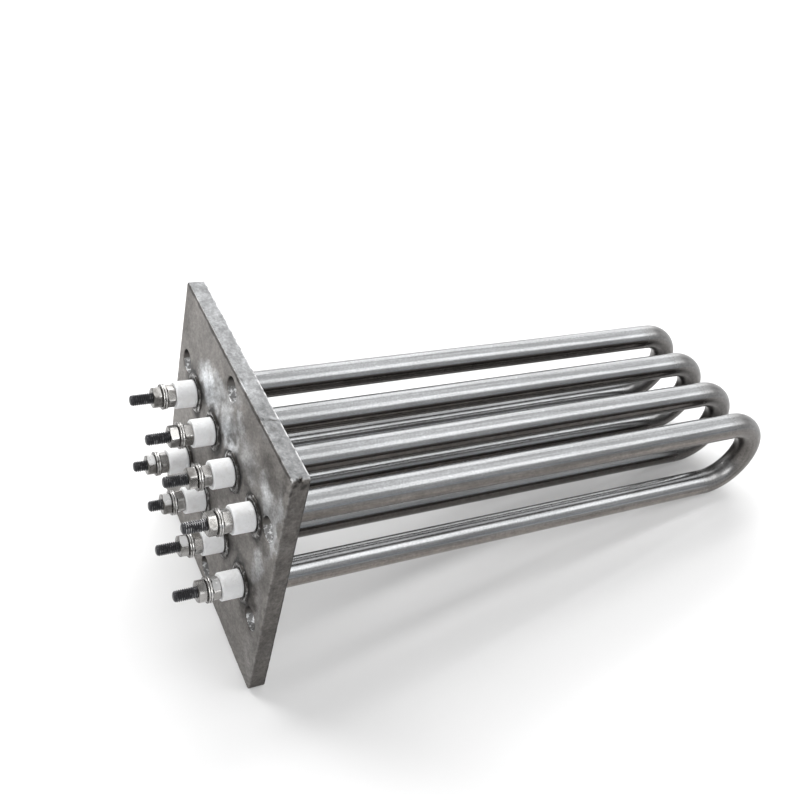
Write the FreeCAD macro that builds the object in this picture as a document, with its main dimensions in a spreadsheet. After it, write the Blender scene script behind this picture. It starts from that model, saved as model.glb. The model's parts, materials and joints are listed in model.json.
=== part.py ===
import FreeCAD, Part
import os
import Sketcher

# Flanged heater: a square steel plate carries four hairpin tubes, stacked side by side.
# Both legs of each tube pass through the plate and are welded to it on the terminal face.
# Frame: origin at the centre of the plate's seating face, +X along the tubes towards their
# bends, +Y across the stack, +Z from the lower legs to the upper ones. Millimetres.

SIZES = [
    # the plate
    ("PlateWidth", 100.0, "plate, along Y"),
    ("PlateHeight", 100.0, "plate, along Z"),
    ("PlateThick", 6.0, "plate thickness"),
    ("CornerRound", 1.6, "radius of the plate's four corners"),
    ("EdgeBreak", 0.3, "broken edge round both faces of the plate"),
    ("NickWidth", 1.1, "nick in the near top corner, along X"),
    ("NickDepth", 0.8, "nick in the near top corner, depth"),
    # the six bolt holes
    ("BoltHoleDia", 8.5, "bolt hole"),
    ("SideHoleInset", 8.5, "bolt holes at the two sides, plate edge to centre"),
    ("SideHoleRise", 43.0, "bolt holes at the two sides, distance along Z"),
    ("EndHoleInset", 7.5, "bolt holes at top and bottom, plate edge to centre"),
    # the hairpin tubes
    ("TubeOuter", 10.2, "sheath, outer diameter"),
    ("TubeWall", 0.7, "sheath wall"),
    ("TubePitch", 20.2, "distance between neighbouring tubes, along Y"),
    ("LegSpacing", 32.0, "distance between the legs of one tube, along Z"),
    ("StraightRun", 200.0, "seating face to the centre of the bends"),
    ("TubeProud", 0.5, "tube ends beyond the terminal face"),
    ("TubeClearance", 0.1, "radial clearance of a tube in its hole"),
    # the welds
    ("WeldPrep", 1.5, "bevel at the mouth of each tube hole"),
    ("WeldOuter", 14.4, "outer diameter of a weld bead"),
    ("WeldCrown", 1.7, "radius of a bead's crown"),
    # the inside of the tubes
    ("CoilOuter", 4.4, "resistance coil, over its turns"),
    ("ColdLength", 45.0, "terminal face to the end of the coil"),
    ("ShankDia", 3.4, "terminal pin inside the powder"),
    # the ceramic bushes
    ("BushOuter", 9.6, "bush head diameter"),
    ("BushHead", 7.2, "bush head length"),
    ("BushBevel", 0.7, "bevel at the outer end of the head"),
    ("BushNeck", 6.0, "length of the neck inside the tube"),
    ("NeckClearance", 0.05, "radial clearance of the neck in the tube"),
    ("BoreClearance", 0.05, "radial clearance of bush, nut and washer bores on the pin"),
    # the terminal pins and their fasteners
    ("ThreadDia", 4.0, "terminal thread, major diameter"),
    ("SeatedDia", 3.9, "the same thread inside the nuts and the bush"),
    ("PinReach", 23.0, "terminal face to the tip of a pin"),
    ("ShortPinReach", 20.0, "the same for the two pins that were cut shorter"),
    ("TipRound", 0.9, "rounding at the tip of a pin"),
    ("NutFlats", 7.0, "nut, across its flats"),
    ("NutThick", 3.0, "nut thickness"),
    ("NutFaceDia", 6.6, "flat ring on the faces of a nut, inside its bevel"),
    ("WasherDia", 9.0, "washer diameter"),
    ("WasherThick", 0.85, "washer thickness"),
    ("WasherBreak", 0.15, "rounded-off edge of a washer"),
]

# The tubes across the stack from -Y to +Y, and the side of each leg along Z.
TUBES = (1, 2, 3, 4)
LEGS = {"lower": "-", "upper": ""}
SHORT_PINS = ("lower_3", "lower_4")

# How far each nut was left turned about its pin, in degrees.
OUTER_NUT_TURNS = {
    "upper_1": 40, "upper_2": 13, "upper_3": 31, "upper_4": 18,
    "lower_1": 30, "lower_2": 32, "lower_3": 32, "lower_4": 39,
}
INNER_NUT_TURNS = {
    "upper_1": 27, "upper_2": 15, "upper_3": 32, "upper_4": 23,
    "lower_1": 8, "lower_2": 50, "lower_3": 4, "lower_4": 55,
}

# Places along X, each measured back from the seating face through the stack on a pin.
TERMINAL_FACE = "-Sizes.PlateThick"
TUBE_END = TERMINAL_FACE + " - Sizes.TubeProud"
BUSH_FACE = TUBE_END + " - Sizes.BushHead"
INNER_NUT_FACE = BUSH_FACE + " - Sizes.NutThick"
MIDDLE_FACE = INNER_NUT_FACE + " - Sizes.WasherThick"
WASHER_FACE = MIDDLE_FACE + " - Sizes.WasherThick"
OUTER_NUT_FACE = WASHER_FACE + " - Sizes.NutThick"
NECK_END = TUBE_END + " + Sizes.BushNeck"
COIL_END = TERMINAL_FACE + " + Sizes.ColdLength"

HOLE_RADIUS = "Sizes.TubeOuter / 2 + Sizes.TubeClearance"
SHEATH_BORE = "Sizes.TubeOuter - 2 * Sizes.TubeWall"
THREAD_BORE = "Sizes.ThreadDia + 2 * Sizes.BoreClearance"

doc = FreeCAD.newDocument("FlangedHeater")
sheet = doc.addObject("Spreadsheet::Sheet", "Sizes")
for row, (alias, number, meaning) in enumerate(SIZES, start=1):
    sheet.set(f"A{row}", meaning)
    sheet.set(f"B{row}", str(number))
    sheet.setAlias(f"B{row}", alias)
doc.recompute()


def value(expression):
    """Number that an expression of the sheet's sizes has now."""
    return float(sheet.evalExpression(expression))


def origin_feature(body, role):
    return next(item for item in body.Origin.OriginFeatures if item.Role == role)


def new_body(name, label):
    body = doc.addObject("PartDesign::Body", name)
    body.Label = label
    return body


def new_sketch(body, name, role, offset=None):
    """Sketch on one of the body's own origin planes, moved along its normal by offset."""
    sketch = body.newObject("Sketcher::SketchObject", name)
    sketch.AttachmentSupport = (origin_feature(body, role), [""])
    sketch.MapMode = "FlatFace"
    if offset:
        sketch.setExpression("AttachmentOffset.Base.z", offset)
    return sketch


def bind(sketch, expression, *constraint):
    """Add a driving constraint whose value follows an expression."""
    index = sketch.addConstraint(Sketcher.Constraint(*constraint, value(expression)))
    sketch.setExpression(f"Constraints[{index}]", expression)


def bind_point(sketch, geometry, end, point):
    bind(sketch, point[0], "DistanceX", geometry, end)
    bind(sketch, point[1], "DistanceY", geometry, end)


def add_circle(sketch, centre, diameter):
    middle = FreeCAD.Vector(value(centre[0]), value(centre[1]), 0)
    radius = value(diameter) / 2
    circle = sketch.addGeometry(Part.Circle(middle, FreeCAD.Vector(0, 0, 1), radius))
    bind_point(sketch, circle, 3, centre)
    bind(sketch, diameter, "Diameter", circle)


def add_outline(sketch, corners, arc_after=None, arc_radius=None):
    """Closed outline through corners. The side after corner arc_after is an arc that
    bulges to the left of the way it runs; the other sides are straight."""
    points = [FreeCAD.Vector(value(across), value(up), 0) for across, up in corners]
    sides = []
    for index, start in enumerate(points):
        finish = points[(index + 1) % len(points)]
        if index == arc_after:
            chord = finish - start
            left = FreeCAD.Vector(-chord.y, chord.x, 0).normalize()
            radius = value(arc_radius)
            rise = radius - (radius ** 2 - (chord.Length / 2) ** 2) ** 0.5
            crest = (start + finish) / 2 + left * rise
            side = Part.Arc(start, crest, finish)
        else:
            side = Part.LineSegment(start, finish)
        sides.append(sketch.addGeometry(side))
    # an arc drawn clockwise is stored the other way round, so its ends are swapped
    ends = [(2, 1) if index == arc_after else (1, 2) for index in range(len(sides))]
    for index, side in enumerate(sides):
        following = (index + 1) % len(sides)
        sketch.addConstraint(Sketcher.Constraint(
            "Coincident", side, ends[index][1], sides[following], ends[following][0]))
        bind_point(sketch, side, ends[index][0], corners[index])
    if arc_after is not None:
        bind(sketch, arc_radius, "Radius", sides[arc_after])


def turned(body, name, corners, kind="PartDesign::Revolution", **arc):
    """Outline in the XZ plane, taken once round the body's X axis."""
    sketch = new_sketch(body, name + "Outline", "XZ_Plane")
    add_outline(sketch, corners, **arc)
    feature = body.newObject(kind, name)
    feature.Profile = sketch
    feature.ReferenceAxis = (origin_feature(body, "X_Axis"), [""])
    feature.Angle = 360
    return feature


def drilled(body, name, circles, offset=None, depth=None):
    """Round pockets from a YZ plane; they run towards -X, through all without a depth."""
    sketch = new_sketch(body, name + "Circles", "YZ_Plane", offset)
    for centre, diameter in circles:
        add_circle(sketch, centre, diameter)
    pocket = body.newObject("PartDesign::Pocket", name)
    pocket.Profile = sketch
    if depth:
        pocket.setExpression("Length", depth)
        pocket.Reversed = True
    else:
        pocket.Type = "ThroughAll"
        pocket.Midplane = True
    return pocket


def edges_where(shape, test):
    return [f"Edge{number}" for number, edge in enumerate(shape.Edges, start=1) if test(edge)]


def dress(body, kind, name, base, names, expression):
    """Fillet or chamfer on named edges of the feature before it."""
    feature = body.newObject(kind, name)
    feature.Base = (base, names)
    feature.setExpression("Radius" if kind.endswith("Fillet") else "Size", expression)
    return feature


def place(item, across=None, up=None, along=None):
    """Bind where an object stands, in the part's frame."""
    path = "LinkPlacement" if item.isDerivedFrom("App::Link") else "Placement"
    for axis, expression in zip("xyz", (along, across, up)):
        if expression:
            item.setExpression(f"{path}.Base.{axis}", expression)


def across_stack(tube):
    middle = (TUBES[0] + TUBES[-1]) / 2
    return f"{tube - middle} * Sizes.TubePitch"


def leg_height(leg):
    return LEGS[leg] + "Sizes.LegSpacing / 2"


def terminals():
    """Each terminal's name with its tube and leg."""
    return [(f"{leg}_{tube}", tube, leg) for leg in LEGS for tube in TUBES]


def flange_plate():
    body = new_body("FlangePlate", "flange_plate")
    half_width, half_height = "Sizes.PlateWidth / 2", "Sizes.PlateHeight / 2"
    sketch = new_sketch(body, "PlateOutline", "YZ_Plane")
    add_outline(sketch, [
        ("-" + half_width, "-" + half_height), (half_width, "-" + half_height),
        (half_width, half_height), ("-" + half_width, half_height)])
    pad = body.newObject("PartDesign::Pad", "PlateSlab")
    pad.Profile = sketch
    pad.setExpression("Length", "Sizes.PlateThick")
    pad.Reversed = True
    doc.recompute()

    def runs_through(edge):
        return abs(edge.Vertexes[0].X - edge.Vertexes[-1].X) > value("Sizes.PlateThick") / 2

    rounded = dress(body, "PartDesign::Fillet", "PlateCorners", pad,
                    edges_where(pad.Shape, runs_through), "Sizes.CornerRound")
    doc.recompute()
    broken = dress(body, "PartDesign::Chamfer", "PlateEdges", rounded,
                   edges_where(rounded.Shape, lambda edge: not runs_through(edge)),
                   "Sizes.EdgeBreak")
    doc.recompute()

    side = f"({half_width} - Sizes.SideHoleInset)"
    end = f"({half_height} - Sizes.EndHoleInset)"
    bolt_centres = [(sign_y + side, sign_z + "Sizes.SideHoleRise / 2")
                    for sign_y in ("-", "") for sign_z in ("-", "")]
    bolt_centres += [("0", sign_z + end) for sign_z in ("-", "")]
    drilled(body, "BoltHoles", [(centre, "Sizes.BoltHoleDia") for centre in bolt_centres])
    tube_holes = drilled(body, "TubeHoles", [
        ((across_stack(tube), leg_height(leg)), f"2 * ({HOLE_RADIUS})")
        for name, tube, leg in terminals()])
    doc.recompute()

    def is_mouth(edge):
        """Rim of a tube hole on the terminal face."""
        return (isinstance(edge.Curve, Part.Circle)
                and abs(edge.Curve.Radius - value(HOLE_RADIUS)) < 1e-6
                and abs(edge.Curve.Center.x - value(TERMINAL_FACE)) < 1e-6)

    dress(body, "PartDesign::Chamfer", "WeldBevels", tube_holes,
          edges_where(tube_holes.Shape, is_mouth), "Sizes.WeldPrep")
    doc.recompute()

    # a small dent across the near top corner, halfway through the thickness
    nick = new_sketch(body, "NickOutline", "XZ_Plane", half_width)
    middle = "-Sizes.PlateThick / 2"
    add_outline(nick, [
        (middle + " - Sizes.NickWidth / 2", half_height + " + Sizes.NickDepth"),
        (middle, half_height + " - Sizes.NickDepth"),
        (middle + " + Sizes.NickWidth / 2", half_height + " + Sizes.NickDepth")])
    cut = body.newObject("PartDesign::Pocket", "CornerNick")
    cut.Profile = nick
    cut.setExpression("Length", "Sizes.CornerRound + Sizes.NickDepth")
    return body


def hairpin_path(body, name, start):
    """Open path in the XZ plane: in along the upper leg, round the bend, back along the
    lower leg. Both legs begin at start."""
    path = new_sketch(body, name, "XZ_Plane")
    half, far = value("Sizes.LegSpacing / 2"), value("Sizes.StraightRun")
    upper = path.addGeometry(Part.LineSegment(
        FreeCAD.Vector(value(start), half, 0), FreeCAD.Vector(far, half, 0)))
    bend = path.addGeometry(Part.Arc(
        FreeCAD.Vector(far, half, 0), FreeCAD.Vector(far + half, 0, 0),
        FreeCAD.Vector(far, -half, 0)))
    lower = path.addGeometry(Part.LineSegment(
        FreeCAD.Vector(far, -half, 0), FreeCAD.Vector(value(start), -half, 0)))
    path.addConstraint(Sketcher.Constraint("Coincident", upper, 2, bend, 2))
    path.addConstraint(Sketcher.Constraint("Coincident", bend, 1, lower, 1))
    bind_point(path, upper, 1, (start, "Sizes.LegSpacing / 2"))
    bind_point(path, upper, 2, ("Sizes.StraightRun", "Sizes.LegSpacing / 2"))
    bind(path, "Sizes.StraightRun", "DistanceX", bend, 3)
    bind_point(path, lower, 1, ("Sizes.StraightRun", "-Sizes.LegSpacing / 2"))
    bind(path, start, "DistanceX", lower, 2)
    path.addConstraint(Sketcher.Constraint("Horizontal", lower))
    return path


def hairpin(body, name, start, diameters, kind="PartDesign::AdditivePipe"):
    """Round section swept along a hairpin; a second diameter makes it a tube."""
    path = hairpin_path(body, name + "Path", start)
    section = new_sketch(body, name + "Section", "YZ_Plane", start)
    for diameter in diameters:
        add_circle(section, ("0", "Sizes.LegSpacing / 2"), diameter)
    pipe = body.newObject(kind, name)
    pipe.Profile = section
    pipe.Spine = (path, [])
    return pipe


def heater_sheath(tube):
    body = new_body(f"HeaterSheath{tube}", f"heater_sheath_{tube}")
    hairpin(body, f"SheathTube{tube}", TUBE_END, ["Sizes.TubeOuter", SHEATH_BORE])
    place(body, across=across_stack(tube))
    return body


def heating_coil(tube):
    """Closed outer form of the wound resistance wire."""
    body = new_body(f"HeatingCoil{tube}", f"heating_coil_{tube}")
    hairpin(body, f"CoilForm{tube}", COIL_END, ["Sizes.CoilOuter"])
    place(body, across=across_stack(tube))
    return body


def magnesia_fill(tube):
    """Pressed powder between the sheath and the coil, bored for both pins."""
    body = new_body(f"MagnesiaFill{tube}", f"magnesia_fill_{tube}")
    hairpin(body, f"FillForm{tube}", NECK_END, [SHEATH_BORE])
    hairpin(body, f"CoilSpace{tube}", COIL_END, ["Sizes.CoilOuter"], "PartDesign::SubtractivePipe")
    drilled(body, f"PinSpaces{tube}", [(("0", leg_height(leg)), "Sizes.ShankDia") for leg in LEGS],
            offset=NECK_END, depth=f"{COIL_END} - ({NECK_END})")
    place(body, across=across_stack(tube))
    return body


def terminal_pin(name, tube, leg):
    """Shank in the powder, then the thread to the rounded tip. Its free end, beyond the
    outer nut, is a face of its own at the full diameter."""
    body = new_body("TerminalPin_" + name, "terminal_pin_" + name)
    reach = "Sizes.ShortPinReach" if name in SHORT_PINS else "Sizes.PinReach"
    tip = f"{TERMINAL_FACE} - {reach}"
    pin = turned(body, "PinTurning_" + name, [
        (tip, "0"), (tip, "Sizes.ThreadDia / 2"), (OUTER_NUT_FACE, "Sizes.ThreadDia / 2"),
        (OUTER_NUT_FACE, "Sizes.SeatedDia / 2"), (NECK_END, "Sizes.SeatedDia / 2"),
        (NECK_END, "Sizes.ShankDia / 2"), (COIL_END, "Sizes.ShankDia / 2"), (COIL_END, "0")])
    doc.recompute()
    at_tip = edges_where(pin.Shape, lambda edge: isinstance(edge.Curve, Part.Circle)
                         and abs(edge.Curve.Center.x - value(tip)) < 1e-6)
    dress(body, "PartDesign::Fillet", "PinTip_" + name, pin, at_tip, "Sizes.TipRound")
    place(body, across_stack(tube), leg_height(leg))
    return body


def ceramic_bush(name, tube, leg):
    """Head that stands on the tube's end, with a neck inside the tube."""
    body = new_body("CeramicBush_" + name, "ceramic_bush_" + name)
    bore = f"({THREAD_BORE}) / 2"
    neck = f"({SHEATH_BORE}) / 2 - Sizes.NeckClearance"
    turned(body, "BushTurning_" + name, [
        (BUSH_FACE, bore),
        (BUSH_FACE, "Sizes.BushOuter / 2 - Sizes.BushBevel"),
        (BUSH_FACE + " + Sizes.BushBevel", "Sizes.BushOuter / 2"),
        (TUBE_END, "Sizes.BushOuter / 2"),
        (TUBE_END, neck), (NECK_END, neck), (NECK_END, bore)])
    place(body, across_stack(tube), leg_height(leg))
    return body


def weld_bead():
    """One bead, about its tube's axis: it fills the bevel and rises to the tube's end."""
    body = new_body("WeldBead", "weld_bead_form")
    root = TERMINAL_FACE + " + Sizes.WeldPrep"
    turned(body, "BeadTurning", [
        (root, "Sizes.TubeOuter / 2"), (TUBE_END, "Sizes.TubeOuter / 2"),
        (TERMINAL_FACE, "Sizes.WeldOuter / 2"),
        (TERMINAL_FACE, HOLE_RADIUS + " + Sizes.WeldPrep"), (root, HOLE_RADIUS)],
        arc_after=1, arc_radius="Sizes.WeldCrown")
    return body


def hex_nut():
    """One nut with its inner face at X = 0, bevelled at both faces."""
    body = new_body("HexNut", "hex_nut_form")
    sketch = new_sketch(body, "HexOutline", "YZ_Plane")
    add_outline(sketch, [
        (f"Sizes.NutFlats / sqrt(3) * cos({turn}deg)", f"Sizes.NutFlats / sqrt(3) * sin({turn}deg)")
        for turn in range(0, 360, 60)])
    pad = body.newObject("PartDesign::Pad", "HexPrism")
    pad.Profile = sketch
    pad.setExpression("Length", "Sizes.NutThick")
    pad.Reversed = True
    doc.recompute()
    drilled(body, "NutBore", [(("0", "0"), THREAD_BORE)])
    doc.recompute()
    inner, outer = "Sizes.NutFaceDia / 2", "Sizes.NutFlats"
    drop = f"({outer} - {inner}) * tan(30deg)"
    turned(body, "InnerBevel", [("0", inner), ("0", outer), ("-" + drop, outer)],
           kind="PartDesign::Groove")
    doc.recompute()
    turned(body, "OuterBevel", [
        ("-Sizes.NutThick", inner), (f"-Sizes.NutThick + {drop}", outer),
        ("-Sizes.NutThick", outer)], kind="PartDesign::Groove")
    return body


def flat_washer():
    """One washer with its inner face at X = 0."""
    body = new_body("FlatWasher", "flat_washer_form")
    rim, bore = "Sizes.WasherDia / 2", f"({THREAD_BORE}) / 2"
    turned(body, "WasherTurning", [
        ("0", bore), ("-Sizes.WasherThick", bore),
        ("-Sizes.WasherThick", rim + " - Sizes.WasherBreak"),
        ("-Sizes.WasherThick + Sizes.WasherBreak", rim),
        ("-Sizes.WasherBreak", rim), ("0", rim + " - Sizes.WasherBreak")])
    return body


def group(name, label, form, along=None, turns=None):
    """The same piece at all eight terminals, as separate solids of one object."""
    copies = []
    for terminal, tube, leg in terminals():
        copy = doc.addObject("App::Link", f"{name}_{terminal}")
        copy.LinkedObject = form
        if turns:
            turn = FreeCAD.Rotation(FreeCAD.Vector(1, 0, 0), turns[terminal])
            copy.LinkPlacement = FreeCAD.Placement(FreeCAD.Vector(), turn)
        place(copy, across_stack(tube), leg_height(leg), along)
        copies.append(copy)
    gathered = doc.addObject("Part::Compound", name)
    gathered.Label = label
    gathered.Links = copies
    return gathered


pieces = [flange_plate()]
for tube in TUBES:
    pieces += [heater_sheath(tube), magnesia_fill(tube), heating_coil(tube)]
for terminal in terminals():
    pieces += [terminal_pin(*terminal), ceramic_bush(*terminal)]
nut, washer = hex_nut(), flat_washer()
pieces += [
    group("WeldBeads", "weld_beads", weld_bead()),
    group("InnerNuts", "inner_nuts", nut, BUSH_FACE, INNER_NUT_TURNS),
    group("InnerWashers", "inner_washers", washer, INNER_NUT_FACE),
    group("OuterWashers", "outer_washers", washer, MIDDLE_FACE),
    group("OuterNuts", "outer_nuts", nut, WASHER_FACE, OUTER_NUT_TURNS),
]
doc.recompute()

for item in doc.Objects:
    if "Invalid" in item.State or "Error" in item.State:
        raise RuntimeError(f"{item.Label}: {item.State}")
os.makedirs("parts", exist_ok=True)
for piece in pieces:
    if piece.Shape.isNull() or not piece.Shape.isValid() or not piece.Shape.Solids:
        raise RuntimeError(f"{piece.Label} has no valid solid")
    piece.Shape.exportStep(f"parts/{piece.Label}.step")
    print(piece.Label, len(piece.Shape.Solids), round(piece.Shape.Volume, 2))
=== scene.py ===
import json
import math
import bmesh
import bpy
from mathutils import Matrix, Vector, geometry, noise


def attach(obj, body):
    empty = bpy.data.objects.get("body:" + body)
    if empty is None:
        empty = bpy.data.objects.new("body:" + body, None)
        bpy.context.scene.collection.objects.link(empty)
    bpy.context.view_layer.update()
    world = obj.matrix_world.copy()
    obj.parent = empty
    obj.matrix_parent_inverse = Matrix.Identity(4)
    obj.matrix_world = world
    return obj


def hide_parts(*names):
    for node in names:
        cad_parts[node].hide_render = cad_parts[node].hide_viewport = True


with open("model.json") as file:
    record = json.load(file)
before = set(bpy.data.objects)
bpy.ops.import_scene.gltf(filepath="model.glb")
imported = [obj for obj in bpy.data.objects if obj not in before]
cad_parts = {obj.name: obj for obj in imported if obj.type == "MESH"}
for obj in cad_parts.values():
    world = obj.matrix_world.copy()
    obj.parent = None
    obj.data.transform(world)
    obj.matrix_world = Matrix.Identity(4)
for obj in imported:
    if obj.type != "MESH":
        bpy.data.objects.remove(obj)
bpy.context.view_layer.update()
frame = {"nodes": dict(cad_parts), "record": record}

# Flanged tubular heater, dressed over its CAD frame. Lengths in the dictionaries are in
# millimetres, only the studio's in metres. X runs along the tubes, Y across the stack,
# Z from lower to upper legs.
nodes = frame["nodes"]
mm = 0.001

stack = {
    "tubes": {1: -30.3, 2: -10.1, 3: 10.1, 4: 30.3},   # each tube's place along Y
    "legs": {"lower": -16.0, "upper": 16.0},           # each leg's height
    "terminalFace": -6.0, "tubeEnd": -6.5, "bushFace": -13.7,
    "sideHole": (41.5, 21.5), "endHole": (0.0, 42.5),  # bolt holes (Y, Z), mirrored
}
terminals = [(f"{leg}_{tube}", y, z) for leg, z in stack["legs"].items()
             for tube, y in stack["tubes"].items()]


# helpers for shader trees

def setInputs(tree, node, inputs):
    for name, value in inputs.items():
        if isinstance(value, bpy.types.NodeSocket):
            tree.links.new(value, node.inputs[name])
        else:
            node.inputs[name].default_value = value
    return node


def addNode(tree, kind, inputs=None, **settings):
    node = tree.nodes.new("ShaderNode" + kind)
    for name, value in settings.items():
        setattr(node, name, value)
    return setInputs(tree, node, inputs or {})


def calculate(tree, operation, *values):
    return addNode(tree, "Math", dict(enumerate(values)), operation=operation).outputs[0]


def times(tree, first, second):
    return calculate(tree, "MULTIPLY", first, second)


def larger(tree, first, second):
    return calculate(tree, "MAXIMUM", first, second)


def absolute(tree, value):
    return calculate(tree, "ABSOLUTE", value)


def vectorMath(tree, operation, *values):
    return addNode(tree, "VectorMath", dict(enumerate(values)), operation=operation).outputs[0]


def lengthOf(tree, vector):
    return addNode(tree, "VectorMath", {0: vector}, operation="LENGTH").outputs["Value"]


def axesOf(tree, vector):
    return addNode(tree, "SeparateXYZ", {0: vector}).outputs


def facingOf(tree):
    return axesOf(tree, addNode(tree, "NewGeometry").outputs["Normal"])


def fullColour(colour):
    return colour if isinstance(colour, bpy.types.NodeSocket) else (*colour, 1)


def blendColours(tree, amount, first, second):
    return addNode(tree, "Mix", {0: amount, 6: fullColour(first), 7: fullColour(second)},
                   data_type="RGBA").outputs[2]


def blendValues(tree, amount, first, second):
    return addNode(tree, "Mix", {0: amount, 2: first, 3: second}, data_type="FLOAT").outputs[0]


def shadeColour(tree, colour, value):
    return addNode(tree, "Mix", {0: 1.0, 6: fullColour(colour), 7: value}, data_type="RGBA",
                   blend_type="MULTIPLY").outputs[2]


def ramp(tree, value, low, high, start=0.0, end=1.0):
    return addNode(tree, "MapRange", {
        "Value": value, "From Min": low, "From Max": high, "To Min": start, "To Max": end},
        interpolation_type="SMOOTHSTEP").outputs[0]


def rampAt(tree, value, span, start=0.0, end=1.0):
    # a ramp between two places given in millimetres
    return ramp(tree, value, span[0] * mm, span[1] * mm, start, end)


def newGroup(name, output, **inputs):
    # takes a place, and the inputs with their usual values
    tree = bpy.data.node_groups.new(name, "ShaderNodeTree")
    tree.interface.new_socket("Vector", in_out="INPUT", socket_type="NodeSocketVector")
    for label, value in inputs.items():
        kind = "Float" if isinstance(value, float) else "Vector"
        tree.interface.new_socket(label, in_out="INPUT",
                                  socket_type="NodeSocket" + kind).default_value = value
    tree.interface.new_socket(output, in_out="OUTPUT", socket_type="NodeSocketFloat")
    given, put = tree.nodes.new("NodeGroupInput"), tree.nodes.new("NodeGroupOutput")
    return tree, given.outputs, put.inputs


def useGroup(tree, group, inputs):
    node = tree.nodes.new("ShaderNodeGroup")
    node.node_tree = group
    return setInputs(tree, node, inputs).outputs[0]


def newMaterial(name, colour, metallic, roughness):
    material = bpy.data.materials.new(name)
    material.use_nodes = True
    tree = material.node_tree
    shader = tree.nodes["Principled BSDF"]
    setInputs(tree, shader, {"Base Color": (*colour, 1), "Metallic": metallic,
                             "Roughness": roughness})
    material.diffuse_color = (*colour, 1)
    return material, tree, shader, addNode(tree, "TexCoord").outputs["Object"]


# shared effects, each one a group

def makeCloudGroup():
    # soft-edged patches, 1 inside a patch
    tree, given, put = newGroup("cloudPatches", "Mask", Scale=60.0, Detail=4.0, Low=0.4, High=0.6)
    cloud = addNode(tree, "TexNoise", {
        "Vector": given["Vector"], "Scale": given["Scale"], "Detail": given["Detail"],
        "Roughness": 0.55})
    tree.links.new(ramp(tree, cloud.outputs["Fac"], given["Low"], given["High"]), put["Mask"])
    return tree


def makeStreakGroup():
    # fine lines drawn out along one way
    tree, given, put = newGroup("drawnLines", "Height", Stretch=(1, 20, 20), Scale=60.0,
                                Detail=3.0)
    stretched = vectorMath(tree, "MULTIPLY", given["Vector"], given["Stretch"])
    streaks = addNode(tree, "TexNoise", {
        "Vector": stretched, "Scale": given["Scale"], "Detail": given["Detail"],
        "Roughness": 0.6})
    tree.links.new(streaks.outputs["Fac"], put["Height"])
    return tree


def makeDistanceGroup():
    # distance from an axis along X that repeats in all four quarters of the plate
    tree, given, put = newGroup("axisDistance", "Distance", Centre=(0, 0, 0))
    folded = vectorMath(tree, "ABSOLUTE", given["Vector"])
    offset = vectorMath(tree, "SUBTRACT", folded, given["Centre"])
    across = vectorMath(tree, "MULTIPLY", offset, (0, 1, 1))
    tree.links.new(lengthOf(tree, across), put["Distance"])
    return tree


def makeSpotGroup():
    # one soft oval spot, 1 in the middle
    tree, given, put = newGroup("softSpot", "Mask", Centre=(0, 0, 0), Reach=(0.01, 0.01, 0.01))
    offset = vectorMath(tree, "SUBTRACT", given["Vector"], given["Centre"])
    share = vectorMath(tree, "DIVIDE", offset, given["Reach"])
    tree.links.new(ramp(tree, lengthOf(tree, share), 1.3, 0.2), put["Mask"])
    return tree


def makeMottleGroup():
    # uneven brightness about 1, for multiplying a colour
    tree, given, put = newGroup("mottle", "Shade", Scale=300.0, Low=0.8, High=1.2)
    cloud = addNode(tree, "TexNoise", {
        "Vector": given["Vector"], "Scale": given["Scale"], "Detail": 6.0, "Roughness": 0.65})
    spread = addNode(tree, "MapRange", {
        "Value": cloud.outputs["Fac"], "From Min": 0.3, "From Max": 0.7,
        "To Min": given["Low"], "To Max": given["High"]})
    tree.links.new(spread.outputs["Result"], put["Shade"])
    return tree


cloudPatches = makeCloudGroup()
softSpot = makeSpotGroup()
mottle = makeMottleGroup()
drawnLines = makeStreakGroup()
axisDistance = makeDistanceGroup()


def addClouds(tree, vector, scale, low, high, detail=4.0):
    return useGroup(tree, cloudPatches, {
        "Vector": vector, "Scale": scale, "Detail": detail, "Low": low, "High": high})


def addLines(tree, vector, scale, detail, stretch=(1, 1, 1)):
    return useGroup(tree, drawnLines, {
        "Vector": vector, "Stretch": stretch, "Scale": scale, "Detail": detail})


def addMottle(tree, colour, vector, scale, low, high):
    return shadeColour(tree, colour, useGroup(tree, mottle, {
        "Vector": vector, "Scale": scale, "Low": low, "High": high}))


def addSpot(tree, vector, centre, reach):
    return useGroup(tree, softSpot, {
        "Vector": vector, "Centre": [part * mm for part in centre],
        "Reach": [part * mm for part in reach]})


def addDistance(tree, vector, y, z):
    return useGroup(tree, axisDistance, {"Vector": vector, "Centre": (0, y * mm, z * mm)})


def terminalDistance(tree, vector):
    # distance to the nearest of the eight terminals' axes
    near, far = (addDistance(tree, vector, stack["tubes"][tube], stack["legs"]["upper"])
                 for tube in (3, 4))
    return calculate(tree, "MINIMUM", near, far)


def cloudShift(tree, vector, scale, detail, roughness=0.5):
    # random shift about zero, for ragged outlines
    cloud = addNode(tree, "TexNoise", {"Vector": vector, "Scale": scale, "Detail": detail,
                                       "Roughness": roughness})
    return vectorMath(tree, "SUBTRACT", cloud.outputs["Color"], (0.5, 0.5, 0.5))


def addShift(tree, shift, reach, vector):
    return vectorMath(tree, "MULTIPLY_ADD", shift, [part * mm for part in reach], vector)


def addBump(tree, height, strength, distance, **under):
    return addNode(tree, "Bump", {"Strength": strength, "Distance": distance * mm,
                                  "Height": height, **under}).outputs[0]


# finishes

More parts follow.
